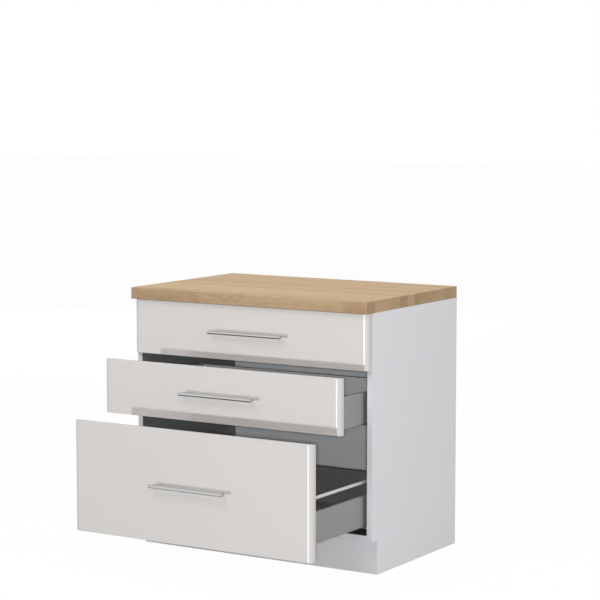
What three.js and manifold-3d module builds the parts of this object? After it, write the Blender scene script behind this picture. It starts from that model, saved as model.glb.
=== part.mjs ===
// A 900 mm kitchen base cabinet with three drawers under an oak worktop. Millimetres, +X to the right,
// +Y to the wall, +Z up. The origin is on the floor, in the middle of the plinth board's underside.
import * as THREE from "three";
import { mergeVertices } from "three/addons/utils/BufferGeometryUtils.js";
import Module from "manifold-3d";

// Carcass
const CABINET_WIDTH = 900;
const BOARD = 18; // sides, bottom, rails and plinth
const CARCASS_DEPTH = 564;
const BACK_BOARD = 5;
const REBATE_WIDTH = 9; // of the side panels' rear edges, which the back board lies in
const TOE_HEIGHT = 111;
const TOE_DEPTH = 35.5; // the plinth's front face behind the carcass front
const STRETCHER_WIDTH = 100;
const STRETCHER_HOLE_RADIUS = 4; // for the screws that hold the worktop from below
const STRETCHER_HOLE_INSET = 60;
// Worktop
const WORKTOP_TOP = 870; // above the floor
const WORKTOP_DEPTH = 600;
const WORKTOP_THICK = 38;
const WORKTOP_EDGE_RADIUS = 1.5;
const WORKTOP_CORNER_RADIUS = 2; // of the upright corners
// Drawer fronts
const FRONT_THICK = 19;
const FRONT_EDGE_RADIUS = 18.5; // the quarter round down each upright edge
const FRONT_REVEAL = 2; // a front stops this far short of the carcass side
const FRONT_GAP = 3; // between one front and the next
const FRONT_TOP_GAP = 2; // under the worktop
const FRONT_RISE = 1; // the lowest front ends this far above the bottom panel's underside
const BUMPER_GAP = 2; // between a closed front and the carcass
const TOP_FRONT_HEIGHT = 178;
const MIDDLE_FRONT_HEIGHT = 176;
// Bar handles
const BAR_RADIUS = 6;
const BAR_LENGTH = 276;
const BAR_CHAMFER = 0.8;
const POST_SPACING = 256;
const POST_RADIUS = 4;
const BAR_STAND_OFF = 23; // bar axis in front of the drawer front
const POST_SCREW_RADIUS = 2.2; // of the holes through the front
// Drawer boxes, measured from the rear face of their fronts
const DRAWER_LENGTH = 500;
const SIDE_HEIGHT = 98; // of the hollow steel drawer sides
const SIDE_WIDTH = 13;
const SIDE_SHEET = 1;
const SIDE_TOP_BEND = 2.5;
const SIDE_FOOT_BEND = 0.5;
const SIDE_PLAY = 15.5; // from the side panel to the drawer side
const LEDGE_WIDTH = 15;
const LEDGE_TOP = 12; // above the drawer side's lower edge
const DRAWER_BOARD = 16; // base and back
const BASE_PLAY = 1;
const BACK_END_PLAY = 1.5;
const LOW_BACK_HEIGHT = 64.5;
const DEEP_BACK_HEIGHT = 116;
const LOW_DRAWER_LIFT = 10; // the drawer side's lower edge above its front's lower edge
const DEEP_DRAWER_LIFT = 43.5;
// Runners: three nested channels of folded steel
const RUNNER_SHEET = 1.2;
const RUNNER_BEND = 0.8;
const RUNNER_CLEARANCE = 0.4; // between one channel and the next
const RUNNER_HEIGHT = 24; // of the innermost channel
const RUNNER_FLANGE = 7.1; // width of the innermost channel
const RUNNER_SETBACK = 2; // behind the carcass front
const RUNNER_WINDOWS = 4; // punched in the web of the middle channel
const WINDOW_LENGTH = 48;
const WINDOW_RADIUS = 5;
const WALL_FLANGE_HEIGHT = 32; // of the outer channel, on the side panel
const WALL_HOLE_RADIUS = 2.5;
const WALL_SLOT_LENGTH = 10; // of the fixing holes behind the first one
const WALL_HOLE_INSET = 37; // first fixing hole behind the carcass front, and the least at the far end
const WALL_HOLE_PITCH = 32;
const PANEL_HOLE_DEPTH = 11; // of the side panels' holes for the runners' screws
// Brackets that hold the front and the back to the drawer sides
const BRACKET_SHEET = 1.5;
const BRACKET_FOOT = 34; // above the drawer side's lower edge
const BRACKET_HEIGHT = 54;
const BRACKET_REACH = 42;
const BRACKET_PLAY = 0.5;
const BRACKET_HOLE_RADIUS = 2;
const BRACKET_HOLE_INSET = 10;
const BOARD_HOLE_DEPTH = 12; // of the holes for the brackets' screws
// Gallery rails of the deep drawer
const GALLERY_RADIUS = 5.5;
const GALLERY_HEIGHT = 140.5; // rail axis above the drawer side's lower edge
const FERRULE_RADIUS = 7;
const FERRULE_LENGTH = 9;
// How far each drawer stands open
const TOP_OPEN = 0;
const MIDDLE_OPEN = 166;
const BOTTOM_OPEN = 330;

const ARC_STEPS = 10;
const BEND_STEPS = 3;
const ROUND_STEPS = 20;
const HOLE_STEPS = 12;
const CUT_MARGIN = 1; // how far a cutting body stands out of what it cuts

// Places that follow from the sizes
const HALF_WIDTH = CABINET_WIDTH / 2;
const INSIDE_HALF = HALF_WIDTH - BOARD;
const PLINTH_FRONT = -BOARD / 2;
const CARCASS_FRONT = PLINTH_FRONT - TOE_DEPTH;
const CARCASS_BACK = CARCASS_FRONT + CARCASS_DEPTH;
const INSIDE_BACK = CARCASS_BACK - BACK_BOARD;
const CARCASS_TOP = WORKTOP_TOP - WORKTOP_THICK;
const FRONT_REAR = CARCASS_FRONT - BUMPER_GAP; // rear face of a closed front
const FRONT_HALF = HALF_WIDTH - FRONT_REVEAL;
const WALL_LENGTH = DRAWER_LENGTH - DRAWER_BOARD; // of a drawer side, which ends at the back
const RUNNER_START = CARCASS_FRONT + RUNNER_SETBACK;
const SLIDING_END = FRONT_REAR + WALL_LENGTH; // of the two channels that move
const BASE_TOP = LEDGE_TOP + DRAWER_BOARD;
const SIDE_INNER = SIDE_PLAY + SIDE_WIDTH; // from the side panel to the face inside the drawer
const BRACKET_NEAR = SIDE_PLAY + SIDE_SHEET + BRACKET_PLAY; // likewise, to a bracket's free edge
const BRACKET_FAR = SIDE_INNER - SIDE_SHEET; // and to its leg on the drawer side's inner wall

const wasm = await Module();
wasm.setup();

// Solids and cuts ----------------------------------------------------------------------------------

function solidOf(geometry) {
  const bare = new THREE.BufferGeometry();
  bare.setAttribute("position", geometry.getAttribute("position"));
  bare.setIndex(geometry.getIndex());
  const merged = mergeVertices(bare, 1e-4);
  return new wasm.Manifold(
    new wasm.Mesh({
      numProp: 3,
      vertProperties: merged.getAttribute("position").array,
      triVerts: new Uint32Array(merged.getIndex().array),
    }),
  );
}

function geometryOf(solid) {
  const { vertProperties, triVerts } = solid.getMesh();
  const indexed = new THREE.BufferGeometry();
  indexed.setAttribute("position", new THREE.BufferAttribute(vertProperties, 3));
  indexed.setIndex(new THREE.BufferAttribute(triVerts, 1));
  const geometry = indexed.toNonIndexed();
  geometry.computeVertexNormals();
  return geometry;
}

const join = (...parts) => geometryOf(parts.map(solidOf).reduce((all, next) => all.add(next)));
const cut = (body, ...tools) =>
  geometryOf(tools.map(solidOf).reduce((left, tool) => left.subtract(tool), solidOf(body)));

function slab([x0, x1], [y0, y1], [z0, z1]) {
  const box = new THREE.BoxGeometry(x1 - x0, y1 - y0, z1 - z0);
  return box.translate((x0 + x1) / 2, (y0 + y1) / 2, (z0 + z1) / 2);
}

const X = new THREE.Vector3(1, 0, 0);
const Y = new THREE.Vector3(0, 1, 0);
const Z = new THREE.Vector3(0, 0, 1);

function extrude(shape, depth, curveSegments = ARC_STEPS) {
  return new THREE.ExtrudeGeometry(shape, { depth, bevelEnabled: false, curveSegments });
}

// A shape drawn in (y, z), carried along x.
function alongX(shape, x0, x1) {
  return extrude(shape, x1 - x0)
    .applyMatrix4(new THREE.Matrix4().makeBasis(Y, Z, X))
    .translate(x0, 0, 0);
}

// A shape drawn in (x, z), carried along y.
function alongY(shape, y0, y1) {
  return extrude(shape, y1 - y0)
    .applyMatrix4(new THREE.Matrix4().makeBasis(X, Z, Y.clone().negate()))
    .translate(0, y1, 0);
}

// A shape drawn in (x, y), carried along z.
const alongZ = (shape, z0, z1) => extrude(shape, z1 - z0).translate(0, 0, z0);

// A round bar or hole from one end of its axis to the other.
function rod(from, to, radius, steps = ROUND_STEPS) {
  const axis = new THREE.Vector3().subVectors(to, from);
  const turn = new THREE.Quaternion().setFromUnitVectors(Y, axis.clone().normalize());
  return new THREE.CylinderGeometry(radius, radius, axis.length(), steps)
    .applyQuaternion(turn)
    .translate(...new THREE.Vector3().addVectors(from, to).multiplyScalar(0.5));
}

// Round holes along y, from y0 to y1, at each place (x, z).
function holesAlongY(places, [y0, y1], radius) {
  return places.map(([x, z]) =>
    rod(new THREE.Vector3(x, y0, z), new THREE.Vector3(x, y1, z), radius, HOLE_STEPS),
  );
}

// A hole with round ends that is `length` long along y, and goes through from x0 to x1.
function slotAlongX([x0, x1], y, z, radius, length) {
  const half = length / 2 - radius;
  const outline = new THREE.Shape();
  outline.absarc(y + half, z, radius, -Math.PI / 2, Math.PI / 2, false);
  outline.absarc(y - half, z, radius, Math.PI / 2, 1.5 * Math.PI, false);
  return alongX(new THREE.Shape(outline.getPoints(HOLE_STEPS / 2)), x0, x1);
}

// Folded sheet -------------------------------------------------------------------------------------

// The points of a fold: an arc of `radius` that touches both straights at `corner`.
function fold(before, corner, after, radius) {
  const into = corner.clone().sub(before).normalize();
  const away = after.clone().sub(corner).normalize();
  const half = Math.acos(THREE.MathUtils.clamp(into.dot(away), -1, 1)) / 2;
  const centre = corner
    .clone()
    .add(away.clone().sub(into).normalize().multiplyScalar(radius / Math.cos(half)));
  const start = corner.clone().addScaledVector(into, -radius * Math.tan(half)).sub(centre);
  const turn = 2 * half * Math.sign(into.cross(away));
  const points = [];
  for (let i = 0; i <= BEND_STEPS; i++) {
    const angle = (turn * i) / BEND_STEPS;
    points.push(start.clone().rotateAround(new THREE.Vector2(), angle).add(centre));
  }
  return points;
}

// A sheet seen end on. `face` is one face of it from edge to edge, the other face lies `thick` to the
// left of it, and `bends` are the inside radii of its folds, one for each corner between the edges.
function foldedSheet(face, thick, bends) {
  const points = face.map(([a, b]) => new THREE.Vector2(a, b));
  const left = (from, to) => {
    const along = to.clone().sub(from).normalize();
    return new THREE.Vector2(-along.y, along.x);
  };
  const last = points.length - 1;
  const far = points.map((point, i) => {
    const one = left(points[Math.max(i - 1, 0)], points[Math.max(i, 1)]);
    const two = left(points[Math.min(i, last - 1)], points[Math.min(i + 1, last)]);
    const mitre = one.clone().add(two);
    return point.clone().addScaledVector(mitre, (2 * thick) / mitre.lengthSq());
  });
  const rounded = (line, side) =>
    line.flatMap((point, i) => {
      if (i === 0 || i === last) return [point];
      const into = point.clone().sub(line[i - 1]);
      const turnsLeft = into.cross(line[i + 1].clone().sub(point)) > 0;
      const outside = turnsLeft === (side === "near");
      return fold(line[i - 1], point, line[i + 1], bends[i - 1] + (outside ? thick : 0));
    });
  return new THREE.Shape([...rounded(points, "near"), ...rounded(far, "far").reverse()]);
}

// Carries a sheet that is drawn in (distance from the side panel, height above the drawer side's lower
// edge) along the drawer, on the right for hand 1 and on the left for hand -1.
function runnerSheet(hand, face, thick, bends, [y0, y1]) {
  const profile = foldedSheet(face, thick, bends);
  const placed = profile.getPoints().map((p) => new THREE.Vector2(hand * (INSIDE_HALF - p.x), p.y));
  return alongY(new THREE.Shape(placed), y0, y1);
}

// Materials ----------------------------------------------------------------------------------------

const material = (color, roughness, metalness = 0) =>
  new THREE.MeshStandardMaterial({ color, roughness, metalness });
const OAK = material(0xc9a679, 0.45);
const WHITE_BOARD = material(0xe9eaec, 0.5);
const GREY_BACK = material(0x9a9fa3, 0.6);
const GLOSS_FRONT = material(0xe3dfdb, 0.08);
const DARK_BOARD = material(0x4a4b4c, 0.55);
const GREY_BOARD = material(0x8d8f91, 0.5);
const GREY_STEEL = material(0x9b9da0, 0.4, 0.6);
const ZINC_STEEL = material(0xb9bcc0, 0.35, 0.9);
const SATIN_STEEL = material(0xc4c5c7, 0.28, 1);

const cabinet = new THREE.Group();

function add(group, name, geometry, look) {
  const mesh = new THREE.Mesh(geometry, look);
  mesh.name = name;
  group.add(mesh);
}

const HANDS = [
  { side: "left", hand: -1 },
  { side: "right", hand: 1 },
];
const span = (hand, inner, outer) => (hand > 0 ? [inner, outer] : [-outer, -inner]);

// Carcass ------------------------------------------------------------------------------------------

// A side panel: the toe space is cut out of its lower front corner, the back board's rebate out of its
// rear edge, and its inner face has the blind holes that the runners are screwed to.
function sidePanel(hand) {
  const outline = new THREE.Shape();
  outline.moveTo(PLINTH_FRONT, 0);
  outline.lineTo(CARCASS_BACK, 0);
  outline.lineTo(CARCASS_BACK, CARCASS_TOP);
  outline.lineTo(CARCASS_FRONT, CARCASS_TOP);
  outline.lineTo(CARCASS_FRONT, TOE_HEIGHT);
  outline.lineTo(PLINTH_FRONT, TOE_HEIGHT);
  const rebate = slab(
    span(hand, INSIDE_HALF - CUT_MARGIN, INSIDE_HALF + REBATE_WIDTH),
    [INSIDE_BACK, CARCASS_BACK + CUT_MARGIN],
    [TOE_HEIGHT, CARCASS_TOP + CUT_MARGIN],
  );
  const face = hand * (INSIDE_HALF - CUT_MARGIN);
  const floor = hand * (INSIDE_HALF + PANEL_HOLE_DEPTH);
  const holes = DRAWERS.flatMap(({ bottom, lift }) => {
    const z = bottom + lift + WALL_FLANGE_HEIGHT / 2;
    return wallHoles().map((y) =>
      rod(new THREE.Vector3(face, y, z), new THREE.Vector3(floor, y, z), WALL_HOLE_RADIUS, HOLE_STEPS),
    );
  });
  return cut(alongX(outline, ...span(hand, INSIDE_HALF, HALF_WIDTH)), rebate, ...holes);
}

// How far back a runner's three fixing holes lie, in whole pitches from the first one.
function wallHoles() {
  const first = CARCASS_FRONT + WALL_HOLE_INSET;
  const last = Math.floor((DRAWER_LENGTH - 2 * WALL_HOLE_INSET) / WALL_HOLE_PITCH);
  return [0, Math.floor(last / 2), last].map((step) => first + step * WALL_HOLE_PITCH);
}

// A stretcher between the side panels, with holes for the screws that come up into the worktop.
function stretcher(y0) {
  const board = slab(
    [-INSIDE_HALF, INSIDE_HALF],
    [y0, y0 + STRETCHER_WIDTH],
    [CARCASS_TOP - BOARD, CARCASS_TOP],
  );
  const middle = y0 + STRETCHER_WIDTH / 2;
  const holeAt = INSIDE_HALF - STRETCHER_HOLE_INSET;
  const holes = [-holeAt, 0, holeAt].map((x) =>
    rod(
      new THREE.Vector3(x, middle, CARCASS_TOP - BOARD - CUT_MARGIN),
      new THREE.Vector3(x, middle, CARCASS_TOP + CUT_MARGIN),
      STRETCHER_HOLE_RADIUS,
      HOLE_STEPS,
    ),
  );
  return cut(board, ...holes);
}

// The worktop: its upright corners are rounded and all its long edges are eased.
function worktop() {
  const front = CARCASS_BACK - WORKTOP_DEPTH;
  const r = WORKTOP_CORNER_RADIUS;
  const quarter = Math.PI / 2;
  const plan = new THREE.Shape();
  plan.absarc(HALF_WIDTH - r, front + r, r, -quarter, 0, false);
  plan.absarc(HALF_WIDTH - r, CARCASS_BACK - r, r, 0, quarter, false);
  plan.absarc(r - HALF_WIDTH, CARCASS_BACK - r, r, quarter, 2 * quarter, false);
  plan.absarc(r - HALF_WIDTH, front + r, r, 2 * quarter, 3 * quarter, false);
  const eased = {
    depth: WORKTOP_THICK - 2 * WORKTOP_EDGE_RADIUS,
    bevelThickness: WORKTOP_EDGE_RADIUS,
    bevelSize: WORKTOP_EDGE_RADIUS,
    bevelOffset: -WORKTOP_EDGE_RADIUS,
    bevelSegments: BEND_STEPS,
    curveSegments: BEND_STEPS,
  };
  const board = new THREE.ExtrudeGeometry(plan, eased);
  return geometryOf(solidOf(board.translate(0, 0, CARCASS_TOP + WORKTOP_EDGE_RADIUS)));
}

function addCarcass() {
  for (const { side, hand } of HANDS) add(cabinet, `side_panel_${side}`, sidePanel(hand), WHITE_BOARD);
  const inside = [-INSIDE_HALF, INSIDE_HALF];
  const bottom = slab(inside, [CARCASS_FRONT, INSIDE_BACK], [TOE_HEIGHT, TOE_HEIGHT + BOARD]);
  add(cabinet, "bottom_panel", bottom, WHITE_BOARD);
  const plinth = slab(inside, [PLINTH_FRONT, PLINTH_FRONT + BOARD], [0, TOE_HEIGHT]);
  add(cabinet, "plinth_board", plinth, WHITE_BOARD);
  add(cabinet, "front_stretcher", stretcher(CARCASS_FRONT), WHITE_BOARD);
  add(cabinet, "rear_stretcher", stretcher(INSIDE_BACK - STRETCHER_WIDTH), WHITE_BOARD);
  const backHalf = INSIDE_HALF + REBATE_WIDTH;
  const back = slab([-backHalf, backHalf], [INSIDE_BACK, CARCASS_BACK], [TOE_HEIGHT, CARCASS_TOP]);
  add(cabinet, "back_panel", back, GREY_BACK);
  add(cabinet, "worktop", worktop(), OAK);
}

// Runners ------------------------------------------------------------------------------------------

// Where the three channels lie, each one a clearance and a sheet outside the last.
const STEP = RUNNER_CLEARANCE + RUNNER_SHEET;
const TRACK = SIDE_PLAY + SIDE_SHEET; // the innermost channel lies on the drawer side's outer wall
const INNER_LIP = TRACK + RUNNER_FLANGE;
const OUTER_LIP = TRACK + STEP;
const FOUR_BENDS = [RUNNER_BEND, RUNNER_BEND, RUNNER_BEND, RUNNER_BEND];
const SLIDING_SPAN = [RUNNER_START, SLIDING_END];

// The channel that is screwed to the side panel: wall flange, foot under the drawer side, web and lip.
function cabinetRail(hand) {
  const web = INNER_LIP + 2 * STEP;
  const foot = -2 * STEP;
  const top = RUNNER_HEIGHT + 2 * STEP;
  const face = [
    [0, WALL_FLANGE_HEIGHT],
    [0, foot],
    [web, foot],
    [web, top],
    [OUTER_LIP, top],
  ];
  const ends = [RUNNER_START, RUNNER_START + DRAWER_LENGTH];
  const rail = runnerSheet(hand, face, RUNNER_SHEET, FOUR_BENDS, ends);
  const through = span(hand, INSIDE_HALF - RUNNER_SHEET - CUT_MARGIN, INSIDE_HALF + CUT_MARGIN);
  const holes = wallHoles().map((y, i) => {
    const length = i === 0 ? 2 * WALL_HOLE_RADIUS : WALL_SLOT_LENGTH;
    return slotAlongX(through, y, WALL_FLANGE_HEIGHT / 2, WALL_HOLE_RADIUS, length);
  });
  return cut(rail, ...holes);
}

// The channel between the other two, which moves half as far as the drawer. Its web has windows.
function middleRail(hand) {
  const web = INNER_LIP + STEP;
  const top = RUNNER_HEIGHT + STEP;
  const face = [
    [OUTER_LIP, -STEP],
    [web, -STEP],
    [web, top],
    [OUTER_LIP, top],
  ];
  const rail = runnerSheet(hand, face, RUNNER_SHEET, FOUR_BENDS, SLIDING_SPAN);
  const outer = INSIDE_HALF - web;
  const through = span(hand, outer - CUT_MARGIN, outer + RUNNER_SHEET + CUT_MARGIN);
  const pitch = (SLIDING_END - RUNNER_START) / RUNNER_WINDOWS;
  const windows = Array.from({ length: RUNNER_WINDOWS }, (_, i) => {
    const y = RUNNER_START + (i + 0.5) * pitch;
    return slotAlongX(through, y, RUNNER_HEIGHT / 2, WINDOW_RADIUS, WINDOW_LENGTH);
  });
  return cut(rail, ...windows);
}

// The channel that is fixed inside the drawer side.
function drawerRail(hand) {
  const face = [
    [INNER_LIP, RUNNER_HEIGHT],
    [TRACK, RUNNER_HEIGHT],
    [TRACK, 0],
    [INNER_LIP, 0],
  ];
  return runnerSheet(hand, face, RUNNER_SHEET, FOUR_BENDS, SLIDING_SPAN);
}

// Drawer pieces ------------------------------------------------------------------------------------

// The front in plan: flat behind, with a quarter round down each upright front edge. It has holes
// through it for the handle's screws, and blind ones behind for the brackets' screws.
function drawerFront(height, lift) {
  const face = FRONT_REAR - FRONT_THICK;
  const r = FRONT_EDGE_RADIUS;
  const plan = new THREE.Shape();
  plan.moveTo(-FRONT_HALF, FRONT_REAR);
  plan.lineTo(-FRONT_HALF, face + r);
  plan.absarc(-FRONT_HALF + r, face + r, r, Math.PI, 1.5 * Math.PI, false);
  plan.lineTo(FRONT_HALF - r, face);
  plan.absarc(FRONT_HALF - r, face + r, r, 1.5 * Math.PI, 2 * Math.PI, false);
  plan.lineTo(FRONT_HALF, FRONT_REAR);
  const handleScrews = [-1, 1].map((end) => [(end * POST_SPACING) / 2, height / 2 - lift]);
  const through = [face - CUT_MARGIN, FRONT_REAR + CUT_MARGIN];
  return cut(
    alongZ(plan, -lift, height - lift),
    ...holesAlongY(handleScrews, through, POST_SCREW_RADIUS),
    ...bracketHoles(FRONT_REAR, -1),
  );
}

// The places (x, z) of the screws that hold one bracket to its board.
function bracketScrews(hand) {
  const x = hand * (INSIDE_HALF - (BRACKET_NEAR + BRACKET_FAR - BRACKET_SHEET) / 2);
  const heights = [BRACKET_HOLE_INSET, BRACKET_HEIGHT - BRACKET_HOLE_INSET];
  return heights.map((height) => [x, BRACKET_FOOT + height]);
}

// The blind holes for both brackets' screws in a board whose face is at y: `into` is the way into it.
function bracketHoles(y, into) {
  const places = HANDS.flatMap(({ hand }) => bracketScrews(hand));
  const ends = [y - into * CUT_MARGIN, y + into * BOARD_HOLE_DEPTH];
  return holesAlongY(places, ends, BRACKET_HOLE_RADIUS);
}

// A round bar on two posts, half way up its front.
function barHandle(height, lift) {
  const z = height / 2 - lift;
  const face = FRONT_REAR - FRONT_THICK;
  const y = face - BAR_STAND_OFF;
  const half = BAR_LENGTH / 2;
  const profile = [
    [0, -half],
    [BAR_RADIUS - BAR_CHAMFER, -half],
    [BAR_RADIUS, -half + BAR_CHAMFER],
    [BAR_RADIUS, half - BAR_CHAMFER],
    [BAR_RADIUS - BAR_CHAMFER, half],
    [0, half],
  ].map(([a, b]) => new THREE.Vector2(a, b));
  const bar = new THREE.LatheGeometry(profile, ROUND_STEPS).rotateZ(-Math.PI / 2).translate(0, y, z);
  const posts = [-1, 1].map((end) => {
    const x = (end * POST_SPACING) / 2;
    return rod(new THREE.Vector3(x, y, z), new THREE.Vector3(x, face, z), POST_RADIUS);
  });
  return join(bar, ...posts);
}

// A hollow drawer side folded from one sheet: ledge under the base, inner wall, top and outer wall.
function drawerSide(hand) {
  const face = [
    [SIDE_INNER + LEDGE_WIDTH, LEDGE_TOP],
    [SIDE_INNER, LEDGE_TOP],
    [SIDE_INNER, SIDE_HEIGHT],
    [SIDE_PLAY, SIDE_HEIGHT],
    [SIDE_PLAY, 0],
  ];
  const bends = [SIDE_FOOT_BEND, SIDE_TOP_BEND, SIDE_TOP_BEND];
  return runnerSheet(hand, face, SIDE_SHEET, bends, [FRONT_REAR, SLIDING_END]);
}

// An angle inside the end of a drawer side: one leg on the inner wall, one on the board that it holds.
// `end` is that board's face and `into` the way along y from it into the drawer side.
function cornerBracket(hand, end, into) {
  const face = [
    [BRACKET_NEAR, 0],
    [BRACKET_FAR, 0],
    [BRACKET_FAR, BRACKET_REACH],
  ];
  const section = foldedSheet(face, BRACKET_SHEET, [RUNNER_BEND]);
  const plan = section
    .getPoints()
    .map((p) => new THREE.Vector2(hand * (INSIDE_HALF - p.x), end + into * p.y));
  const angle = alongZ(new THREE.Shape(plan), BRACKET_FOOT, BRACKET_FOOT + BRACKET_HEIGHT);
  const through = [end - into * CUT_MARGIN, end + into * (BRACKET_SHEET + CUT_MARGIN)];
  return cut(angle, ...holesAlongY(bracketScrews(hand), through, BRACKET_HOLE_RADIUS));
}

// A round rail above the drawer side, with a ferrule at the front and one at the back.
function galleryRail(hand) {
  const profile = [
    [0, 0],
    [FERRULE_RADIUS, 0],
    [FERRULE_RADIUS, FERRULE_LENGTH],
    [GALLERY_RADIUS, FERRULE_LENGTH],
    [GALLERY_RADIUS, WALL_LENGTH - FERRULE_LENGTH],
    [FERRULE_RADIUS, WALL_LENGTH - FERRULE_LENGTH],
    [FERRULE_RADIUS, WALL_LENGTH],
    [0, WALL_LENGTH],
  ].map(([a, b]) => new THREE.Vector2(a, b));
  const x = hand * (INSIDE_HALF - SIDE_PLAY - GALLERY_RADIUS);
  return new THREE.LatheGeometry(profile, ROUND_STEPS).translate(x, FRONT_REAR, GALLERY_HEIGHT);
}

function addDrawer({ name, bottom, height, lift, backHeight, gallery, open }) {
  const level = bottom + lift; // of the drawer sides' lower edges
  const fixed = new THREE.Group();
  fixed.position.set(0, 0, level);
  const half = new THREE.Group();
  half.position.set(0, -open / 2, level);
  const drawer = new THREE.Group();
  drawer.position.set(0, -open, level);
  cabinet.add(fixed, half, drawer);

  add(drawer, `${name}_front`, drawerFront(height, lift), GLOSS_FRONT);
  add(drawer, `${name}_handle`, barHandle(height, lift), SATIN_STEEL);
  const baseHalf = INSIDE_HALF - SIDE_INNER - BASE_PLAY;
  const depth = [FRONT_REAR, FRONT_REAR + DRAWER_LENGTH];
  add(drawer, `${name}_base`, slab([-baseHalf, baseHalf], depth, [LEDGE_TOP, BASE_TOP]), DARK_BOARD);
  const backHalf = INSIDE_HALF - SIDE_PLAY - BACK_END_PLAY;
  const backDepth = [SLIDING_END, FRONT_REAR + DRAWER_LENGTH];
  const back = slab([-backHalf, backHalf], backDepth, [BASE_TOP, BASE_TOP + backHeight]);
  add(drawer, `${name}_back`, cut(back, ...bracketHoles(SLIDING_END, 1)), gallery ? DARK_BOARD : GREY_BOARD);
  for (const { side, hand } of HANDS) {
    add(fixed, `${name}_cabinet_rail_${side}`, cabinetRail(hand), ZINC_STEEL);
    add(half, `${name}_middle_rail_${side}`, middleRail(hand), ZINC_STEEL);
    add(drawer, `${name}_drawer_rail_${side}`, drawerRail(hand), ZINC_STEEL);
    add(drawer, `${name}_side_${side}`, drawerSide(hand), GREY_STEEL);
    const frontBracket = cornerBracket(hand, FRONT_REAR, 1);
    add(drawer, `${name}_front_bracket_${side}`, frontBracket, ZINC_STEEL);
    const rearBracket = cornerBracket(hand, SLIDING_END, -1);
    add(drawer, `${name}_rear_bracket_${side}`, rearBracket, ZINC_STEEL);
    if (gallery) add(drawer, `gallery_rail_${side}`, galleryRail(hand), SATIN_STEEL);
  }
}

// The three drawers, from the worktop down: the lowest front takes the height that is left.
const TOP_BOTTOM = CARCASS_TOP - FRONT_TOP_GAP - TOP_FRONT_HEIGHT;
const MIDDLE_BOTTOM = TOP_BOTTOM - FRONT_GAP - MIDDLE_FRONT_HEIGHT;
const BOTTOM_BOTTOM = TOE_HEIGHT + FRONT_RISE;
const LOW_DRAWER = { lift: LOW_DRAWER_LIFT, backHeight: LOW_BACK_HEIGHT };
const DRAWERS = [
  { ...LOW_DRAWER, name: "top", bottom: TOP_BOTTOM, height: TOP_FRONT_HEIGHT, open: TOP_OPEN },
  { ...LOW_DRAWER, name: "middle", bottom: MIDDLE_BOTTOM, height: MIDDLE_FRONT_HEIGHT, open: MIDDLE_OPEN },
  {
    name: "bottom",
    bottom: BOTTOM_BOTTOM,
    height: MIDDLE_BOTTOM - FRONT_GAP - BOTTOM_BOTTOM,
    lift: DEEP_DRAWER_LIFT,
    backHeight: DEEP_BACK_HEIGHT,
    gallery: true,
    open: BOTTOM_OPEN,
  },
];

addCarcass();
DRAWERS.forEach(addDrawer);

export default cabinet;
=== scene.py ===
"""A kitchen base cabinet with three drawers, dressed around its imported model, in a plain studio."""

import math

import bpy
import numpy as np
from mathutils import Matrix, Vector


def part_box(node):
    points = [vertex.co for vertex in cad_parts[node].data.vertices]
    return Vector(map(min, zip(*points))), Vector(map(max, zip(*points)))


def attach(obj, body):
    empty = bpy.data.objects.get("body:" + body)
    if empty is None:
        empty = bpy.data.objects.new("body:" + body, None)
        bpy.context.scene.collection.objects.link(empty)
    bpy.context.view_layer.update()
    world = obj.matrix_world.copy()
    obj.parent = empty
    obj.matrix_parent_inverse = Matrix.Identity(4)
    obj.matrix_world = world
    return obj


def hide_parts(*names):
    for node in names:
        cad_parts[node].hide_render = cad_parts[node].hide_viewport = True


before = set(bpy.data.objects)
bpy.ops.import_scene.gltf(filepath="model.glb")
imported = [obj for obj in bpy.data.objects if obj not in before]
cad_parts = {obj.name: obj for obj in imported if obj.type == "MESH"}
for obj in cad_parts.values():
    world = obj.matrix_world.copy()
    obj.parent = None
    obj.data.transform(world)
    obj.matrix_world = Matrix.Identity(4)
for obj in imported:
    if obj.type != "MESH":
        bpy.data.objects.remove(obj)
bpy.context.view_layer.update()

MM = 0.001
DRAWERS = ("top", "middle", "bottom")
SIDES = ("left", "right")

# Sizes of what is made here, in metres
WORKTOP_EDGE = 1.5 * MM
WORKTOP_CORNER = 2 * MM
FRONT_ROUND = 18.5 * MM
FRONT_EDGE = 0.8 * MM
BAR_CHAMFER = 0.8 * MM
POST_RADIUS = 4 * MM
POST_FOOT = 0.6 * MM
POST_SPACING = 256 * MM
FERRULE_LENGTH = 9 * MM
FERRULE_RADIUS = 7 * MM
FERRULE_FACE = 0.2 * MM
FERRULE_SHOULDER = 0.8 * MM
RAIL_RADIUS = 5.5 * MM
PAD_RADIUS = 4 * MM
PAD_HEIGHT = 1.8 * MM
PAD_INSET = 22 * MM
PAD_FLANK = 0.35  # of its height
PANEL_THICKNESS = 18 * MM
SCREW_RADIUS = 4 * MM
SCREW_HEIGHT = 2.4 * MM
SCREW_FLANK = 0.3  # of its height
SCREW_TURN = 1.15  # where the head's curve meets the recess, in radians
RECESS_RADIUS = 1.6 * MM
RECESS_DEPTH = 1.3 * MM
RECESS_TAPER = 0.45

# The photograph's camera: where it stands, and how it is turned and aimed
CAMERA_AT = (3.57007, -5.49641, 1.53405)
CAMERA_YAW = 0.555537
CAMERA_PITCH = 0.104773
FOCAL_PIXELS = 2041.555
FRAME_PIXELS = 600
SENSOR_MM = 36.0


# Shapes -------------------------------------------------------------------------------------------


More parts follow.
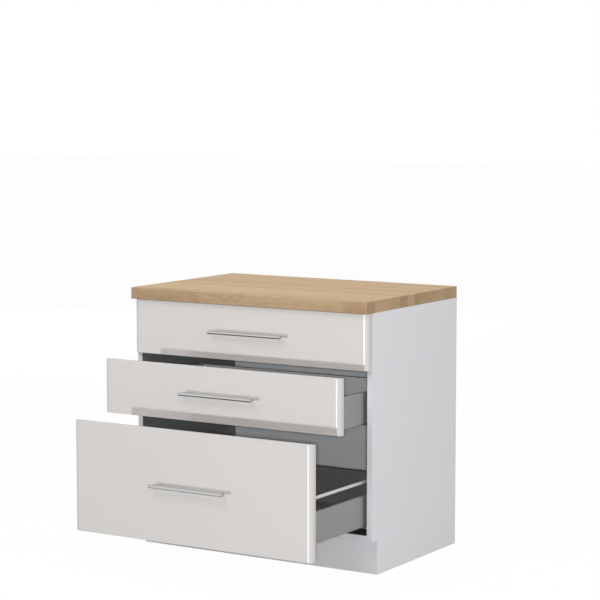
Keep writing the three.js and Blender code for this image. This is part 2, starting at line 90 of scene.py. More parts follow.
def solid(name, shells, material):
    """One object from closed shells. A shell is an array of points in the row frame, and arrays of
    faces that list them."""
    points, faces, count = [], [], 0
    for shell_points, shell_faces in shells:
        points.append(shell_points.reshape(-1, 3))
        for group in shell_faces:
            faces += (group + count).tolist()
        count += len(points[-1])
    mesh = bpy.data.meshes.new(name)
    mesh.from_pydata(np.concatenate(points).tolist(), [], faces)
    mesh.validate()
    mesh.shade_smooth()
    mesh.materials.append(material)
    piece = bpy.data.objects.new(name, mesh)
    bpy.context.scene.collection.objects.link(piece)
    weighted = piece.modifiers.new("flat faces stay flat", "WEIGHTED_NORMAL")
    weighted.weight = 100
    weighted.keep_sharp = True
    return piece


def ring_faces(rows, columns):
    """Quads between rows of points that each close on themselves, then caps on both end rows."""
    row, column = np.meshgrid(np.arange(rows - 1), np.arange(columns), indexing="ij")
    after = (column + 1) % columns
    this, following = row * columns, (row + 1) * columns
    quads = np.stack([this + column, this + after, following + after, following + column], axis=-1)
    first = np.arange(columns)[None, ::-1]
    last = np.arange((rows - 1) * columns, rows * columns)[None]
    return [quads.reshape(-1, 4), first, last]


def board(low, high, rounds, edge, steps=6):
    """A board's shell. Its plan is a rectangle whose corners are arcs: corner + radius * (inwards +
    (cos a, sin a)), for a over a quarter turn. The plan is carried up. Near each end it shrinks
    along its own normals by edge * (1 - cos t) while it nears the end face by edge * sin t, so the
    long edges are arcs too."""
    low, high = np.array(low), np.array(high)
    quarter = np.linspace(0, math.pi / 2, steps + 1)
    corners = [(high[0], low[1]), (high[0], high[1]), (low[0], high[1]), (low[0], low[1])]
    inwards = [(-1, 1), (-1, -1), (1, -1), (1, 1)]
    plan, normals = [], []
    for i, (corner, inward, radius) in enumerate(zip(corners, inwards, rounds)):
        angle = quarter + (i - 1) * math.pi / 2
        normal = np.stack([np.cos(angle), np.sin(angle)], axis=-1)
        plan.append(np.array(corner) + radius * (np.array(inward) + normal))
        normals.append(normal)
    plan, normals = np.concatenate(plan), np.concatenate(normals)
    lift = edge * (1 - np.sin(quarter))
    rise = np.concatenate([low[2] + lift[::-1], high[2] - lift])
    shrink = edge * (1 - np.cos(np.concatenate([quarter[::-1], quarter])))
    points = np.empty((len(rise), len(plan), 3))
    points[..., :2] = plan - normals * shrink[:, None, None]
    points[..., 2] = rise[:, None]
    return points, ring_faces(len(rise), len(plan))


def turned(start, end, profile, around):
    """A turned piece's shell: each (distance along the axis, radius) of its profile is carried
    round the axis, as axis point + radius * (cos u * across + sin u * up)."""
    start, end = np.array(start, float), np.array(end, float)
    axis = (end - start) / np.linalg.norm(end - start)
    across = np.cross([0.0, 0.0, 1.0], axis)
    across /= np.linalg.norm(across)
    up = np.cross(axis, across)
    u = np.linspace(0, 2 * math.pi, around, endpoint=False)
    along, radius = np.array(profile, float).T
    spokes = np.cos(u)[:, None] * across + np.sin(u)[:, None] * up
    points = start + along[:, None, None] * axis + radius[:, None, None] * spokes[None]
    return points, ring_faces(len(along), around)


def rounded_end(radius, chamfer, at, outwards, steps=5):
    """Profile points of a bar's end: a quarter arc from its end face to its side, or back again."""
    turn = np.linspace(0, math.pi / 2, steps + 1)
    along = at - outwards * chamfer * (1 - np.cos(turn))
    across = radius - chamfer * (1 - np.sin(turn))
    ends = np.stack([along, across], axis=-1)
    return (ends if outwards < 0 else ends[::-1]).tolist()


def domed(radius, height, flank, turn):
    """Profile points of a low dome: a straight flank, and then an ellipse's arc, (height * (flank +
    (1 - flank) * sin t), radius * cos t)."""
    along = height * (flank + (1 - flank) * np.sin(turn))
    return [[0, radius]] + np.stack([along, radius * np.cos(turn)], axis=-1).tolist()


# Shader maths -------------------------------------------------------------------------------------

# Over this stretch of its normal's part along an axis, a face comes to count as turned that way
TURNED = (0.5, 0.8)


class Value:
    """A socket that takes part in sums: each operator adds its Math node."""

    def __init__(self, finish, socket):
        self.finish, self.socket = finish, socket

    def __add__(self, other):
        return self.finish.math("ADD", self, other)

    def __radd__(self, other):
        return self.finish.math("ADD", other, self)

    def __sub__(self, other):
        return self.finish.math("SUBTRACT", self, other)

    def __rsub__(self, other):
        return self.finish.math("SUBTRACT", other, self)

    def __mul__(self, other):
        return self.finish.math("MULTIPLY", self, other)

    def __rmul__(self, other):
        return self.finish.math("MULTIPLY", other, self)

    def __truediv__(self, other):
        return self.finish.math("DIVIDE", self, other)

    def __rtruediv__(self, other):
        return self.finish.math("DIVIDE", other, self)


class Finish:
    """A node tree with one maker of nodes, and the few patterns that the finishes share."""

    def __init__(self, tree):
        self.tree = tree
        tree.nodes.clear()

    def node(self, kind, settings=None, sockets=None, out=0):
        """A node of that kind. It gives the output named, or a list where out is a tuple."""
        made = self.tree.nodes.new(kind)
        for key, value in (settings or {}).items():
            if key == "stops":
                self.set_stops(made.color_ramp, value)
            elif key == "kind":
                made.color_ramp.interpolation = value
            else:
                setattr(made, key, value)
        for key, value in (sockets or {}).items():
            if isinstance(value, Value):
                self.tree.links.new(value.socket, made.inputs[key])
            else:
                made.inputs[key].default_value = value
        if isinstance(out, tuple):
            return [Value(self, made.outputs[each]) for each in out]
        return Value(self, made.outputs[out]) if len(made.outputs) else made

    @staticmethod
    def set_stops(ramp, stops):
        while len(ramp.elements) < len(stops):
            ramp.elements.new(1.0)
        for element, (place, colour) in zip(ramp.elements, stops):
            element.position = place
            element.color = (*colour, 1.0)

    def math(self, operation, *values, clamp=False):
        settings = {"operation": operation, "use_clamp": clamp}
        return self.node("ShaderNodeMath", settings, dict(enumerate(values)))

    def place(self, scale=(1, 1, 1)):
        """The piece's own place in metres, stretched."""
        where = self.node("ShaderNodeTexCoord", out="Object")
        return self.node("ShaderNodeMapping", {}, {"Vector": where, "Scale": scale})

    def split(self, vector):
        return self.node("ShaderNodeSeparateXYZ", {}, {0: vector}, out=(0, 1, 2))

    def combine(self, x, y, z=0.0):
        return self.node("ShaderNodeCombineXYZ", {}, {0: x, 1: y, 2: z})

    def noise(self, place, scale, detail=3.0, roughness=0.5):
        sockets = {"Vector": place, "Scale": scale, "Detail": detail, "Roughness": roughness}
        return self.node("ShaderNodeTexNoise", {}, sockets, out="Fac")

    def chance(self, where):
        """Three numbers from 0 to 1 that look drawn by lot, and stay the same at the same place."""
        return self.split(self.node("ShaderNodeTexWhiteNoise", {}, {"Vector": where}, out="Color"))

    def step(self, value, start, end):
        """0 up to start, 1 from end on, and a straight rise between them."""
        return self.math("DIVIDE", value - start, end - start, clamp=True)

    def between(self, share, one, two):
        """One where the share is 0, two where it is 1, and the mix of them elsewhere."""
        return one + share * (two - one)

    def front_face(self):
        """1 on faces that look straight ahead, towards -y."""
        normal = self.split(self.node("ShaderNodeTexCoord", out="Normal"))
        return self.step(0.0 - normal[1], *TURNED)

    def end_face(self):
        """1 on faces that look to either side."""
        normal = self.split(self.node("ShaderNodeTexCoord", out="Normal"))
        return self.step(self.math("ABSOLUTE", normal[0]), *TURNED)

    def ramp(self, value, stops, kind="LINEAR"):
        settings = {"stops": stops, "kind": kind}
        return self.node("ShaderNodeValToRGB", settings, {"Fac": value}, out="Color")

    def tints(self, noise, dark, light):
        """From a dark colour to a light one over the middle of a noise's range."""
        return self.ramp(noise, [(0.3, dark), (0.7, light)])

    def scaled(self, colour, level):
        """A colour made darker or lighter by a number that varies."""
        sockets = {0: colour, "Scale": level}
        return self.node("ShaderNodeVectorMath", {"operation": "SCALE"}, sockets)

    def blend(self, factor, one, two):
        """One colour where the factor is 0, and the other where it is 1."""
        return self.node("ShaderNodeMix", {"data_type": "RGBA"}, {0: factor, 6: one, 7: two}, out=2)

    def bump(self, height, depth, strength):
        sockets = {"Height": height, "Distance": depth, "Strength": strength}
        return self.node("ShaderNodeBump", {}, sockets)

    def surface(self, **sockets):
        """The Principled shader with the given sockets, as the material's surface."""
        named = {key.replace("_", " "): value for key, value in sockets.items()}
        shader = self.node("ShaderNodeBsdfPrincipled", {}, named)
        self.node("ShaderNodeOutputMaterial", {}, {"Surface": shader})


def finish(name):
    """A new material and its node tree."""
    material = bpy.data.materials.new(name)
    material.use_nodes = True
    return material, Finish(material.node_tree)


def opaque(colour):
    return (*colour, 1.0)


def shade(colour, factor):
    return tuple(c * factor for c in colour)


def either_way(colour, spread):
    """A colour made darker and lighter by that share."""
    return shade(colour, 1 - spread), shade(colour, 1 + spread)


# Colours
WHITE = (1.0, 1.0, 1.0)
OAK_PALE = (0.592, 0.430, 0.264)
OAK_WARM = (0.470, 0.320, 0.184)
OAK_LATE = (0.400, 0.255, 0.135)
OAK_PORE = (0.230, 0.145, 0.080)
LACQUER_WHITE = (0.606, 0.572, 0.548)
WHITE_BOARD = (0.780, 0.795, 0.815)
INNER_BOARD = (0.175, 0.178, 0.186)
# The inner decor made darker still, as painted shade under the drawers
SHADED_INNER_BOTTOM = (0.080, 0.081, 0.085)
BACK_BOARD = (0.675, 0.687, 0.706)
GREY_BOARD = (0.640, 0.645, 0.655)
DARK_BOARD = (0.125, 0.125, 0.126)
BASE_BOARD = (0.190, 0.190, 0.192)
GREY_STEEL = (0.325, 0.327, 0.330)
DULL_ZINC = (0.44, 0.45, 0.47)
BRIGHT_ZINC = (0.60, 0.61, 0.62)
HANDLE_STEEL = (0.575, 0.575, 0.575)
RAIL_ALUMINIUM = (0.800, 0.800, 0.805)
YELLOWED_RUBBER = (0.70, 0.70, 0.66)
CLEAR_RUBBER = (0.78, 0.78, 0.74)


# Oak ----------------------------------------------------------------------------------------------

# The rows of staves from the front to the back: how wide each is in mm, and how warm, 0 to 1
STAVE_ROWS = (
    (50, 0.95), (51, 0.15), (53, 0.05), (54, 0.05), (51, 0.95), (50, 0.10),
    (36, 1.00), (57, 0.55), (55, 0.40), (50, 0.25), (50, 0.40), (43, 0.35),
)
# The front row's staves from the left: where each starts in mm, and how warm its front edge is.
# They are numbered from 20, and the staves behind them from 0.
FRONT_STAVES = ((0, 0.75), (110, 0.50), (270, 0.38), (450, 0.14), (815, 0.80))
FRONT_NUMBERS = 20
STAVE_LENGTH = 420 * MM
# How far from a row's edge the glue joint starts to open, and is open
GLUE_JOINT = (0.35 * MM, 0.1 * MM)
# Where the lots are drawn, for a row's first joint and for a stave's log
ROW_LOT = 0.37
STAVE_LOT = 0.61

# Growth rings: circles round a pith that lies at least so deep under the worktop, by chance up to
# so much deeper, and somewhere in a strip so wide. They wander by up to so much.
RING_WIDTH = 3.6 * MM
PITH_DEPTH = 12 * MM
PITH_DEEPER = 50 * MM
PITH_STRIP = 160 * MM
RING_WANDER = 30 * MM
# Broader bands of rings, drawn by a noise: how finely along the radius, and how far it moves on
# from row to row and from stave to stave. Then the stretch of the noise over which they show.
BANDS = (55.0, 60.0, 5.3)
BAND_SHOWS = (0.45, 0.75)

# Figures in the wood, each a noise: how finely it is drawn along the grain and across it, how far
# it moves on from stave to stave, and the noise's detail and roughness
FIGURES = {
    "wander": (1.7, 8.0, 7.0, 2.0, 0.5),
    "streak": (1.3, 38.0, 0.0, 3.0, 0.6),
    "fleck": (34.0, 130.0, 0.0, 3.0, 0.7),
    "cross": (120.0, 9.0, 1.0, 2.0, 0.5),
    "fibre": (7.0, 420.0, 0.0, 3.0, 0.6),
    "pores": (60.0, 1700.0, 0.0, 1.0, 0.5),
}
PORE_SHOWS = (0.60, 0.70)
PORES_IN_EARLY_WOOD = 0.35

# How warm the wood is. A row's own warmth counts in full on the ends, and by this share on the top.
ROW_ON_TOP = 0.55
LEAST_WARMTH = 0.12
TONE_SWING = 0.25
# How much the streaks and flecks swing it on the top, and on the front edge
STREAK_SWING = (1.3, 0.7)
FLECK_SWING = (0.25, 2.55)
# How much the cross marks swing it on the front edge's pale staves, and on the warm ones
CROSS_SWING = (0.1, 1.0)

# How much the late wood, the bands and the pores cover the plain wood
LATE_COVER = 0.16
BAND_COVER = 0.14
PORE_COVER = 0.30
# How bright the end grain and the front edge are against the top, the front edge at its foot and at
# its top, and the wood between its fibres and on them
END_GRAIN = 0.86
EDGE_GRAIN = 0.90
EDGE_FADE = (0.93, 1.07)
FIBRE_FADE = (0.96, 1.04)
# Relief: how much each counts in a bump of this depth
FIBRE_RELIEF, PORE_RELIEF, JOINT_RELIEF = 0.5, 0.8, 0.6
OAK_DEPTH = 0.12 * MM


def oak_staves():
    """Solid oak: rows of staves glued side by side, each cut at its own place in its own log. The
    growth rings are circles round a log's pith, which runs along x under the worktop. The wood is
    warmer or paler from row to row, in long streaks on the top, and in short flecks and cross marks
    on the front edge."""
    material, f = finish("oak_staves")
    low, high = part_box("worktop")
    x, y, z = f.split(f.place())
    depth, total_depth, total_length = y - low.y, high.y - low.y, high.x - low.x

    starts = np.cumsum([0] + [wide for wide, warm in STAVE_ROWS[:-1]]) * MM
    rows = [
        (start / total_depth, (start, wide * MM, warm))
        for start, (wide, warm) in zip(starts, STAVE_ROWS)
    ]
    row, width, row_warmth = f.split(f.ramp(depth / total_depth, rows, "CONSTANT"))
    staves = [
        (start * MM / total_length, (FRONT_NUMBERS + i, warm, 0))
        for i, (start, warm) in enumerate(FRONT_STAVES)
    ]
    in_front = f.split(f.ramp((x - low.x) / total_length, staves, "CONSTANT"))
    front_stave, front_warmth = in_front[:2]
    behind = f.step(row, 10 * MM, 20 * MM)
    along = (x - low.x) / STAVE_LENGTH + f.chance(f.combine(row, ROW_LOT))[0]
    stave = f.math("FLOOR", along) * behind + front_stave * (1.0 - behind)
    tone, turn, pith = f.chance(f.combine(row, stave, STAVE_LOT))

    def figure(name):
        along_grain, across_grain, by_stave, detail, roughness = FIGURES[name]
        drawn = f.combine(x * along_grain, y * across_grain, z * across_grain + stave * by_stave)
        return f.noise(drawn, 1.0, detail, roughness)

    off_middle = depth - row - width / 2
    across = off_middle + (turn - 0.5) * PITH_STRIP
    below = z - low.z + PITH_DEPTH + pith * PITH_DEEPER
    radius = f.math("SQRT", across * across + below * below) + figure("wander") * RING_WANDER
    ring = f.math("FRACT", radius / RING_WIDTH)
    late = ring * ring * ring
    band = f.noise(f.combine(radius * BANDS[0], row * BANDS[1], stave * BANDS[2]), 1.0, 2.0)
    fibre = figure("fibre")
    pore = f.step(figure("pores"), *PORE_SHOWS) * f.between(late, PORES_IN_EARLY_WOOD, 1.0)

    end, front = f.end_face(), f.front_face()
    row_share = row_warmth * f.between(end, ROW_ON_TOP, 1.0)
    warmth = f.between(front, row_share, front_warmth) + LEAST_WARMTH + (tone - 0.5) * TONE_SWING
    warmth = warmth + (figure("streak") - 0.5) * f.between(front, *STREAK_SWING)
    warmth = warmth + (figure("fleck") - 0.5) * f.between(front, *FLECK_SWING)
    warmth = warmth + (figure("cross") - 0.5) * front * f.between(front_warmth, *CROSS_SWING)
    plain = f.blend(warmth, opaque(OAK_PALE), opaque(OAK_WARM))
    dark_bands = late * LATE_COVER + f.step(band, *BAND_SHOWS) * BAND_COVER
    banded = f.blend(dark_bands, plain, opaque(OAK_LATE))
    grained = f.blend(pore * PORE_COVER, banded, opaque(OAK_PORE))

    up_the_edge = f.between((z - low.z) / (high.z - low.z), *EDGE_FADE)
    level = f.between(end, 1.0, END_GRAIN) * f.between(front, 1.0, EDGE_GRAIN)
    level = level * f.between(front, 1.0, up_the_edge) * f.between(fibre, *FIBRE_FADE)
    open_from, open_to = (width / 2 - inset for inset in GLUE_JOINT)
    joint = f.step(f.math("ABSOLUTE", off_middle), open_from, open_to)
    height = fibre * FIBRE_RELIEF - pore * PORE_RELIEF - joint * JOINT_RELIEF
    f.surface(
        Base_Color=f.scaled(grained, level),
        Roughness=f.between(fibre, 0.50, 0.62),
        Normal=f.bump(height, OAK_DEPTH, 0.5),
        Specular_IOR_Level=0.16,
    )
    return material


# Lacquer, boards, metals and rubber ---------------------------------------------------------------

# A faced board's texture: how many pearls and clouds there are to a metre, how deep the pearls are
# pressed, and how much rougher the board is between them
PEARLS = 900.0
CLOUDS = 5.0
PEARL_DEPTH = 0.03 * MM
PEARL_ROUGHNESS = 0.12
BOARD_ROUGHNESS = 0.45
# A carcass board: how bright its faces that look straight ahead are against its other faces, a
# painted shade, where that painted shade fades in below the toe space's top, and how near to the
# inner face the second decor shows
FRONT_FACING_SHADE = 0.93
FRONT_SHADE_START = (-2 * MM, -1 * MM)
FACE_REACH = 0.2 * MM


def gloss_lacquer():
    """High-gloss warm white lacquer, which mirrors what stands before it, with the faintest orange
    peel."""
    material, f = finish("gloss_white_lacquer")
    cloud = f.noise(f.place(), 2.5, 2.0)
    peel = f.noise(f.place(), 140.0, 1.0)
    f.surface(
        Base_Color=f.tints(cloud, *either_way(LACQUER_WHITE, 0.015)),
        Roughness=0.03,
        IOR=3.3,
        Normal=f.bump(peel, 0.004 * MM, 0.3),
    )
    return material


def board_texture(f, grain=(1, 1, 1)):
    """A faced board's pressed pearls, and how they and faint clouds mottle its colour."""
    pearl = f.noise(f.place(grain), PEARLS, 2.0, 0.6)
    cloud = f.noise(f.place(grain), CLOUDS, 3.0)
    return pearl, cloud * 0.6 + pearl * 0.4


def faced_board(name, colour, grain=(1, 1, 1), roughness=BOARD_ROUGHNESS, spread=0.02):
    """Melamine-faced board: a soft pearl texture pressed into an even colour."""
    material, f = finish(name)
    pearl, mottle = board_texture(f, grain)
    f.surface(
        Base_Color=f.tints(mottle, *either_way(colour, spread)),
        Roughness=roughness + pearl * PEARL_ROUGHNESS,
        Normal=f.bump(pearl, PEARL_DEPTH, 0.4),
    )
    return material


def carcass_board(name, axis, face, inside):
    """White faced board with a second decor on its inner face, which is the face at that place on
    that axis. Its faces that look straight ahead, above the toe space, are a little darker: painted
    shade."""
    material, f = finish(name)
    pearl, mottle = board_texture(f)
    where = f.split(f.place())
    inner = f.math("COMPARE", where["xyz".index(axis)], face, FACE_REACH)
    toe_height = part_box("bottom_panel")[0].z
    above_toes = f.step(where[2], toe_height + FRONT_SHADE_START[0], toe_height + FRONT_SHADE_START[1])
    # Painted shade: the faces that look straight ahead, above the toe space, are made a little darker
    edge = opaque(shade(WHITE_BOARD, FRONT_FACING_SHADE))
    faced = f.blend(f.front_face() * above_toes, opaque(WHITE_BOARD), edge)
    tint = f.blend(inner, faced, opaque(inside))
    f.surface(
        Base_Color=f.scaled(tint, f.between(mottle, 0.97, 1.03)),
        Roughness=BOARD_ROUGHNESS + pearl * PEARL_ROUGHNESS,
        Specular_IOR_Level=0.35,
        Normal=f.bump(pearl, PEARL_DEPTH, 0.4),
    )
    return material


def powder_coat():
    """Grey powder-coated steel: a fine even orange peel."""
    material, f = finish("grey_powder_coat")
    peel = f.noise(f.place(), 1100.0, 2.0, 0.55)
    cloud = f.noise(f.place(), 8.0, 2.0)
    f.surface(
        Base_Color=f.tints(cloud, *either_way(GREY_STEEL, 0.03)),
        Metallic=0.15,
        Roughness=f.between(peel, 0.42, 0.54),
        Normal=f.bump(peel, 0.03 * MM, 0.5),
    )
    return material


def zinc_plate():
    """Zinc-plated strip steel: rolled along its length, with a faint blotchy bloom."""
    material, f = finish("zinc_plated_steel")
    rolled = f.noise(f.place((900, 12, 900)), 1.0, 3.0)
    bloom = f.noise(f.place(), 60.0, 4.0, 0.65)
    f.surface(
        Base_Color=f.tints(bloom * 0.6 + rolled * 0.4, DULL_ZINC, BRIGHT_ZINC),
        Metallic=0.9,
        Roughness=f.between(bloom, 0.28, 0.53),
    )
    return material


def satin_metal(name, along, colour, metallic, roughness):
    """Satin bar metal, brushed along the bar."""
    material, f = finish(name)
    stretch = {"x": (6, 1400, 1400), "y": (1400, 6, 1400)}[along]
    brushed = f.noise(f.place(stretch), 1.0, 3.0, 0.6)
    f.surface(
        Base_Color=f.tints(brushed, *either_way(colour, 0.1)),
        Metallic=metallic,
        Roughness=f.between(brushed, roughness, roughness + 0.12),
        Normal=f.bump(brushed, 0.01 * MM, 0.4),
    )
    return material


def clear_rubber():
    """Clear soft polyurethane, a little yellowed and frosted."""
    material, f = finish("clear_bumper")
    cloud = f.noise(f.place(), 700.0, 2.0)
    f.surface(
        Base_Color=f.tints(cloud, YELLOWED_RUBBER, CLEAR_RUBBER),
        Roughness=f.between(cloud, 0.25, 0.35),
        Transmission_Weight=0.5,
        IOR=1.48,
    )
    return material


OAK_STAVES = oak_staves()
LACQUER = gloss_lacquer()
WHITE_FACED = faced_board("white_faced_board", WHITE_BOARD)
BACK_FACED = faced_board("grey_hardboard", BACK_BOARD, roughness=0.55)
GREY_FACED = faced_board("grey_faced_board", GREY_BOARD)
DARK_FACED = faced_board("anthracite_board", DARK_BOARD, grain=(0.15, 1, 1), spread=0.08)
BASE_FACED = faced_board("dark_grey_base_board", BASE_BOARD, spread=0.04)
STEEL = powder_coat()
ZINC = zinc_plate()
SATIN_STEEL = satin_metal("satin_steel", "x", HANDLE_STEEL, 1.0, 0.13)
SATIN_ALUMINIUM = satin_metal("satin_aluminium", "y", RAIL_ALUMINIUM, 0.35, 0.24)
BUMPER = clear_rubber()


# Pieces -------------------------------------------------------------------------------------------

# The carcass boards' inner faces: the axis that each looks along, its place there, and its decor.
# The bottom panel's inner decor is darker than the sides', with painted shade from under the drawers.
INNER_FACES = {
    "side_panel_left": ("x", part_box("bottom_panel")[0].x, INNER_BOARD),
    "side_panel_right": ("x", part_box("bottom_panel")[1].x, INNER_BOARD),
    "bottom_panel": ("z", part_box("bottom_panel")[1].z, SHADED_INNER_BOTTOM),
}


def dress(node, material):
    """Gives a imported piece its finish."""
    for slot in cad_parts[node].material_slots:
        slot.material = material


def dress_packed_pieces():
    """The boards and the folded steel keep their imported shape."""
    for board_name, inner_face in INNER_FACES.items():
        dress(board_name, carcass_board(f"{board_name}_facing", *inner_face))
    for board_name in ("plinth_board", "front_stretcher", "rear_stretcher"):
        dress(board_name, WHITE_FACED)
    dress("back_panel", BACK_FACED)
    for drawer in DRAWERS:
        dress(f"{drawer}_base", BASE_FACED)
        dress(f"{drawer}_back", DARK_FACED if drawer == "bottom" else GREY_FACED)
        for side in SIDES:
            dress(f"{drawer}_side_{side}", STEEL)
            dress(f"{drawer}_front_bracket_{side}", ZINC)
            dress(f"{drawer}_rear_bracket_{side}", ZINC)
            for channel in ("cabinet", "middle", "drawer"):
                dress(f"{drawer}_{channel}_rail_{side}", ZINC)


def worktop():
    """An oak slab with softened edges."""
    low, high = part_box("worktop")
    shell = board(low, high, (WORKTOP_CORNER,) * 4, WORKTOP_EDGE)
    top = solid("oak_worktop", [shell], OAK_STAVES)
    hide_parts("worktop")
    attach(top, "cabinet")


def drawer_front(drawer):
    """A lacquered front: quarter rounds down both upright edges, crisp edges at top and bottom."""
    low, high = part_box(f"{drawer}_front")
    rounds = (FRONT_ROUND, FRONT_EDGE, FRONT_EDGE, FRONT_ROUND)
    shell = board(low, high, rounds, FRONT_EDGE, steps=14)
    front = solid(f"{drawer}_lacquered_front", [shell], LACQUER)
    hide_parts(f"{drawer}_front")
    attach(front, f"{drawer}_drawer")


def bar_handle(drawer):
    """A round bar with softened ends on two posts that reach back to the front. A post's foot
    flares by a quarter round."""
    low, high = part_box(f"{drawer}_handle")
    radius = (high.z - low.z) / 2
    y, z = low.y + radius, (low.z + high.z) / 2
    length, reach = high.x - low.x, high.y - y
    bar = rounded_end(radius, BAR_CHAMFER, 0, -1) + rounded_end(radius, BAR_CHAMFER, length, 1)
    turn = np.linspace(0, math.pi / 2, 6)
    flare_along = reach - POST_FOOT * (1 - np.sin(turn))
    flare_radius = POST_RADIUS + POST_FOOT * (1 - np.cos(turn))
    post = [[0, POST_RADIUS]] + np.stack([flare_along, flare_radius], axis=-1).tolist()
    shells = [turned((low.x, y, z), (high.x, y, z), bar, around=48)]
    for x in (-POST_SPACING / 2, POST_SPACING / 2):
        shells.append(turned((x, y, z), (x, high.y, z), post, around=32))
    handle = solid(f"{drawer}_bar_handle", shells, SATIN_STEEL)
    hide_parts(f"{drawer}_handle")
    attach(handle, f"{drawer}_drawer")


def handle_screws(drawer):
    """The pan heads of the two screws that hold a bar handle, on the front's rear face: low domes,
    each with a recess that narrows inwards."""
    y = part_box(f"{drawer}_front")[1].y
    low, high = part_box(f"{drawer}_handle")
    z = (low.z + high.z) / 2
    profile = domed(SCREW_RADIUS, SCREW_HEIGHT, SCREW_FLANK, np.linspace(0, SCREW_TURN, 8))
    top = profile[-1][0]
    profile += [[top, RECESS_RADIUS], [top - RECESS_DEPTH, RECESS_TAPER * RECESS_RADIUS]]
    shells = [
        turned((x, y, z), (x, y + SCREW_HEIGHT, z), profile, around=24)
        for x in (-POST_SPACING / 2, POST_SPACING / 2)
    ]
    heads = solid(f"{drawer}_handle_screws", shells, ZINC)
    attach(heads, f"{drawer}_drawer")


def bumper_pads(drawer):
    """Clear domes behind a front's four corners, where it meets the side panels' edges when it
    shuts."""
    low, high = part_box(f"{drawer}_front")
    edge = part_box("side_panel_right")[1].x - PANEL_THICKNESS / 2
    quarter = np.linspace(0, math.pi / 2, 9)[:-1]
    profile = domed(PAD_RADIUS, PAD_HEIGHT, PAD_FLANK, quarter)
    shells = [
        turned((x, high.y, z), (x, high.y + PAD_HEIGHT, z), profile, around=24)
        for x in (-edge, edge)
        for z in (low.z + PAD_INSET, high.z - PAD_INSET)
    ]
    pads = solid(f"{drawer}_bumper_pads", shells, BUMPER)
    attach(pads, f"{drawer}_drawer")


def gallery_rail(side):
    """A round rail with a ferrule at each end."""
    low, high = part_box(f"gallery_rail_{side}")
    x, z = (low.x + high.x) / 2, (low.z + high.z) / 2
    length = high.y - low.y
    near, far = FERRULE_LENGTH, length - FERRULE_LENGTH
    profile = rounded_end(FERRULE_RADIUS, FERRULE_FACE, 0, -1)
    profile += rounded_end(FERRULE_RADIUS, FERRULE_SHOULDER, near, 1)
    profile += [[near, RAIL_RADIUS], [far, RAIL_RADIUS]]
    profile += rounded_end(FERRULE_RADIUS, FERRULE_SHOULDER, far, -1)
    profile += rounded_end(FERRULE_RADIUS, FERRULE_FACE, length, 1)
    shell = turned((x, low.y, z), (x, high.y, z), profile, around=40)
    rail = solid(f"round_rail_{side}", [shell], SATIN_ALUMINIUM)
    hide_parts(f"gallery_rail_{side}")
    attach(rail, "bottom_drawer")


# Studio -------------------------------------------------------------------------------------------

WORLD_LEVEL = 0.26
FLOOR_HALF = 30.0
FLOOR_ALBEDO = 0.30
FLOOR_WHITE = 1.07  # how bright the floor looks to the camera, before its shadows are mixed in
SHADOWS_SEEN = 0.09  # the share of its own light and shadow that the camera sees on the floor

# What gloss meets round the object, by the direction in which the reflection leaves: white walls
# with a brighter card in front and a dimmer far right corner, and a floor that is less bright
# steeply below. Bearings are seen from the object: 0 is straight ahead of the fronts, and they grow
# to the right. The card's sides fade between two bearings each, and its lower and upper edge
# between two slopes each, all of them a little below the horizon.
CARD_START = (math.radians(-29), math.radians(-19))
CARD_END = (math.radians(-16), math.radians(2))
CARD_LOW = (math.sin(math.radians(-15)), math.sin(math.radians(-13)))
CARD_HIGH = (math.sin(math.radians(-5.5)), math.sin(math.radians(-3.5)))
CARD_GLOW = 3.1
DIM_BEARING = math.radians(140)
DIM_FADE = (-0.85, 1.0)
DIM_LEVEL = 0.46
STEEP_LEVEL = 0.50
STEEP_FADE = (-0.85, -0.30)

# The key lamp stands on the line from here through the camera, this many times as far off
KEY_TOWARDS = (-0.1, 0.4, 0.52)
KEY_DISTANCE = 1.05
KEY_SIZE = (0.20, 0.14)
KEY_WATTS = 193.0
# The other lamps: where they stand and look, their width and height in metres, and their watts
LAMPS = {
    "right": ((7.2, -1.4, 2.0), (0.3, 0.0, 0.4), (3.6, 3.0), 178.0),
    "overhead": ((-0.2, 0.0, 3.6), (0.0, 0.1, 0.4), (3.0, 3.0), 46.0),
    "front": ((-0.1, -2.6, 3.2), (0.0, 0.0, 0.6), (3.0, 1.6), 44.0),
    "rear": ((-5.0, 5.5, 1.6), (0.0, 0.2, 0.5), (4.0, 2.4), 190.0),
}


def surroundings(f, x, y, z):
    """How bright the studio is for a reflection that leaves along (x, y, z)."""
    bearing = f.math("ARCTAN2", x, 0.0 - y)
    card_wide = f.step(bearing, *CARD_START) - f.step(bearing, *CARD_END)
    card_tall = f.step(z, *CARD_LOW) - f.step(z, *CARD_HIGH)
    to_dim_corner = x * math.sin(DIM_BEARING) - y * math.cos(DIM_BEARING)
    walls = 1.0 + card_wide * card_tall * (CARD_GLOW - 1)
    walls = walls - f.step(to_dim_corner, *DIM_FADE) * (1 - DIM_LEVEL)
    return walls * f.between(f.step(z, *STEEP_FADE), STEEP_LEVEL, 1.0)


def light_rays(f):
    """1 for camera, glossy and transmission rays, in turn."""
    rays = ("Is Camera Ray", "Is Glossy Ray", "Is Transmission Ray")
    return f.node("ShaderNodeLightPath", out=rays)


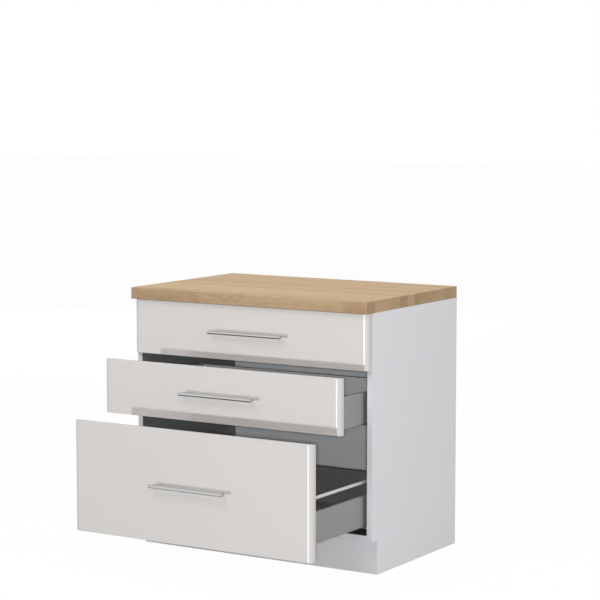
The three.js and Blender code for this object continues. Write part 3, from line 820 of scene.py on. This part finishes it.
def studio_floor():
    """A pale floor: white to the camera, with a faint shadow, and a plain pale diffuse surface to
    the light. Reflections pass through it and meet the studio's own brightness."""
    material, f = finish("studio_floor")
    camera, glossy, through = light_rays(f)
    paper = f.node("ShaderNodeBsdfDiffuse", {}, {"Color": opaque(shade(WHITE, FLOOR_ALBEDO))})
    unseen = f.node("ShaderNodeBsdfTransparent")
    plain = f.node("ShaderNodeEmission", {}, {"Color": opaque(WHITE), "Strength": FLOOR_WHITE})
    lit = f.node("ShaderNodeMixShader", {}, {0: glossy, 1: paper, 2: unseen})
    seen_plain = f.math("ADD", camera * (1 - SHADOWS_SEEN), through, clamp=True)
    surface = f.node("ShaderNodeMixShader", {}, {0: seen_plain, 1: lit, 2: plain})
    f.node("ShaderNodeOutputMaterial", {}, {"Surface": surface})
    corners = np.array([(-1, -1, 0), (1, -1, 0), (1, 1, 0), (-1, 1, 0)]) * FLOOR_HALF
    mesh = bpy.data.meshes.new("studio_floor")
    mesh.from_pydata(corners.tolist(), [], [(0, 1, 2, 3)])
    mesh.materials.append(material)
    floor = bpy.data.objects.new("studio_floor", mesh)
    bpy.context.scene.collection.objects.link(floor)


def studio_world():
    """An even dome of light, white to the camera and through glass. Reflections meet the studio's
    own brightness, above the horizon and below it."""
    world = bpy.data.worlds.new("studio")
    bpy.context.scene.world = world
    world.use_nodes = True
    f = Finish(world.node_tree)
    camera, glossy, through = light_rays(f)
    direction = f.split(f.node("ShaderNodeTexCoord", out="Generated"))
    plain = f.math("ADD", camera, through, clamp=True)
    light = f.math("MAXIMUM", plain, glossy * surroundings(f, *direction))
    strength = f.math("MAXIMUM", light, WORLD_LEVEL)
    shining = {"Color": opaque(WHITE), "Strength": strength}
    background = f.node("ShaderNodeBackground", {}, shining)
    f.node("ShaderNodeOutputWorld", {}, {"Surface": background})


def softbox(name, at, towards, size, watts):
    """A soft rectangular lamp that neither the camera nor a reflection sees."""
    lamp = bpy.data.lights.new(name, "AREA")
    lamp.shape = "RECTANGLE"
    lamp.size, lamp.size_y = size
    lamp.energy = watts
    holder = bpy.data.objects.new(name, lamp)
    holder.visible_camera = False
    holder.visible_glossy = False
    direction = Vector(towards) - Vector(at)
    holder.location = at
    holder.rotation_euler = direction.to_track_quat("-Z", "Y").to_euler()
    bpy.context.scene.collection.objects.link(holder)


def studio_lamps():
    """A small key lamp just behind the camera, which lights what the camera sees between the
    fronts, and large lamps: from the right, from overhead, from above in front, for the soft
    shadows under the bars, and low behind on the left, for the faces that the photograph doesn't
    show."""
    key_at = np.array(KEY_TOWARDS) + KEY_DISTANCE * (np.array(CAMERA_AT) - np.array(KEY_TOWARDS))
    softbox("key", key_at.tolist(), KEY_TOWARDS, KEY_SIZE, KEY_WATTS)
    for name, lamp in LAMPS.items():
        softbox(name, *lamp)


def photo_camera():
    """The photograph's camera. It looks along (-sin yaw * cos pitch, cos yaw * cos pitch,
    -sin pitch)."""
    data = bpy.data.cameras.new("photo_camera")
    data.sensor_width = SENSOR_MM
    data.lens = FOCAL_PIXELS / FRAME_PIXELS * SENSOR_MM
    data.clip_end = 100.0
    camera = bpy.data.objects.new("photo_camera", data)
    camera.location = CAMERA_AT
    camera.rotation_euler = (math.pi / 2 - CAMERA_PITCH, 0.0, CAMERA_YAW)
    bpy.context.scene.collection.objects.link(camera)
    bpy.context.scene.camera = camera


photo_camera()
studio_world()
studio_floor()
studio_lamps()
bpy.context.scene.view_settings.view_transform = "Standard"

dress_packed_pieces()
worktop()
for drawer in DRAWERS:
    drawer_front(drawer)
    bar_handle(drawer)
    handle_screws(drawer)
    bumper_pads(drawer)
for side in SIDES:
    gallery_rail(side)

bpy.context.view_layer.update()
